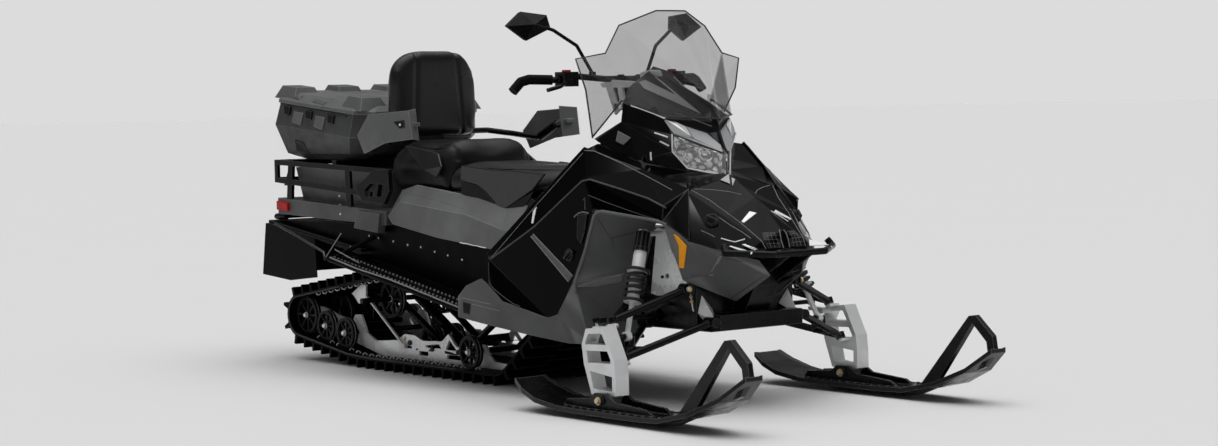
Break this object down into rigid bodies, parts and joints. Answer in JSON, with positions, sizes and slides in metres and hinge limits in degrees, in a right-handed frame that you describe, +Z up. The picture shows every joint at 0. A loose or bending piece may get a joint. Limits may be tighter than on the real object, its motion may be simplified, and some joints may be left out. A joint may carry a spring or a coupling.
{
  "type": "utility snowmobile",
  "caption": "Two-up utility snowmobile with rubber track on slide rails, two steered skis, faceted windshield, bench seat with backrest, cargo rack and lidded cargo box.",
  "frame": {"origin": "on the floor, in the middle of the machine's length and width", "axes": "+X to the nose, +Y to the rider's left, +Z up"},
  "size_m": [3.224, 1.24, 1.32],
  "materials": {
    "black_sheet": "satin",
    "black_steel": "satin",
    "gloss_black": "gloss",
    "black_plastic": "satin",
    "grey_plastic": "fine texture",
    "ski_plastic": "satin",
    "seat_vinyl": "grained",
    "flap_rubber": "matt",
    "grip_rubber": "matt",
    "track_rubber": "matt",
    "silver_alloy": "cast",
    "red_lens": "clear red",
    "clear_lens": "lightly smoked"
  },
  "bodies": {
    "sled": {"tunnel": "black_sheet", "running_boards": "black_sheet", "rear_bumper": "black_steel", "snow_flap": "flap_rubber", "tail_lights": "red_lens", "rear_deck": "grey_plastic", "rack_rails": "black_plastic", "cargo_box": "grey_plastic", "seat_base": "black_plastic", "driver_seat": "seat_vinyl", "passenger_seat": "seat_vinyl", "side_covers": "grey_plastic", "backrest_pad": "seat_vinyl", "backrest_frame": "black_steel", "hand_guards": "grey_plastic", "side_panel_right": "gloss_black", "side_panel_left": "gloss_black", "lower_panel_right": "grey_plastic", "lower_panel_left": "grey_plastic", "hood": "gloss_black", "cowl": "black_plastic", "headlights": "clear_lens", "windshield": "clear_lens", "console": "black_plastic", "chassis": "black_steel", "shock_towers": "silver_alloy", "belly_pan": "black_plastic", "engine": "black_steel", "front_bumper": "black_steel", "lower_arms": "black_steel", "upper_arms": "black_steel", "ski_shocks": "silver_alloy", "ski_springs": "black_steel", "track": "track_rubber", "rail_wheels": "black_plastic", "suspension_frame": "black_steel", "crank_links": "silver_alloy", "slide_rails": "silver_alloy", "drive_axle": "black_steel"},
    "handlebar": {"handlebar": "black_steel", "hand_grips": "grip_rubber", "mirrors": "black_plastic"},
    "spindle_right": {"spindle_right": "silver_alloy"},
    "spindle_left": {"spindle_left": "silver_alloy"},
    "tie_rod_right": {"tie_rod_right": "black_steel"},
    "tie_rod_left": {"tie_rod_left": "black_steel"},
    "ski_right": {"ski_right": "ski_plastic"},
    "ski_left": {"ski_left": "ski_plastic"},
    "lid": {"cargo_box_lid": "grey_plastic"}
  },
  "joints": [
    {"name": "handlebar_steer", "type": "hinge", "parent": "sled", "child": "handlebar", "pos_m": [0.372, 0, 1.086], "axis": [-0.3746, 0, 0.9272], "range_deg": [-30, 30]},
    {"name": "ski_steer_right", "type": "hinge", "parent": "sled", "child": "spindle_right", "pos_m": [0.935, -0.478, 0.19], "axis": [-0.4284, 0, 0.9036], "range_deg": [-27, 27]},
    {"name": "tie_rod_turn_right", "type": "hinge", "parent": "spindle_right", "child": "tie_rod_right", "pos_m": [0.793, -0.478, 0.3], "axis": [-0.4284, 0, 0.9036], "range_deg": [-27, 27]},
    {"name": "ski_pitch_right", "type": "hinge", "parent": "spindle_right", "child": "ski_right", "pos_m": [0.93, -0.532, 0.061], "axis": [0, -1, 0], "range_deg": [-10, 18]},
    {"name": "ski_steer_left", "type": "hinge", "parent": "sled", "child": "spindle_left", "pos_m": [0.935, 0.478, 0.19], "axis": [-0.4284, 0, 0.9036], "range_deg": [-27, 27]},
    {"name": "tie_rod_turn_left", "type": "hinge", "parent": "spindle_left", "child": "tie_rod_left", "pos_m": [0.793, 0.478, 0.3], "axis": [-0.4284, 0, 0.9036], "range_deg": [-27, 27]},
    {"name": "ski_pitch_left", "type": "hinge", "parent": "spindle_left", "child": "ski_left", "pos_m": [0.93, 0.532, 0.061], "axis": [0, -1, 0], "range_deg": [-10, 18]},
    {"name": "box_lid_hinge", "type": "hinge", "parent": "sled", "child": "lid", "pos_m": [-1.18, 0.3, 1.0044], "axis": [-1, 0, 0], "range_deg": [0, 95]}
  ],
  "couplings": [
    {"joint": "ski_steer_right", "follows": "handlebar_steer", "ratio": 0.9},
    {"joint": "tie_rod_turn_right", "follows": "handlebar_steer", "ratio": -0.9},
    {"joint": "ski_steer_left", "follows": "handlebar_steer", "ratio": 0.9},
    {"joint": "tie_rod_turn_left", "follows": "handlebar_steer", "ratio": -0.9}
  ]
}
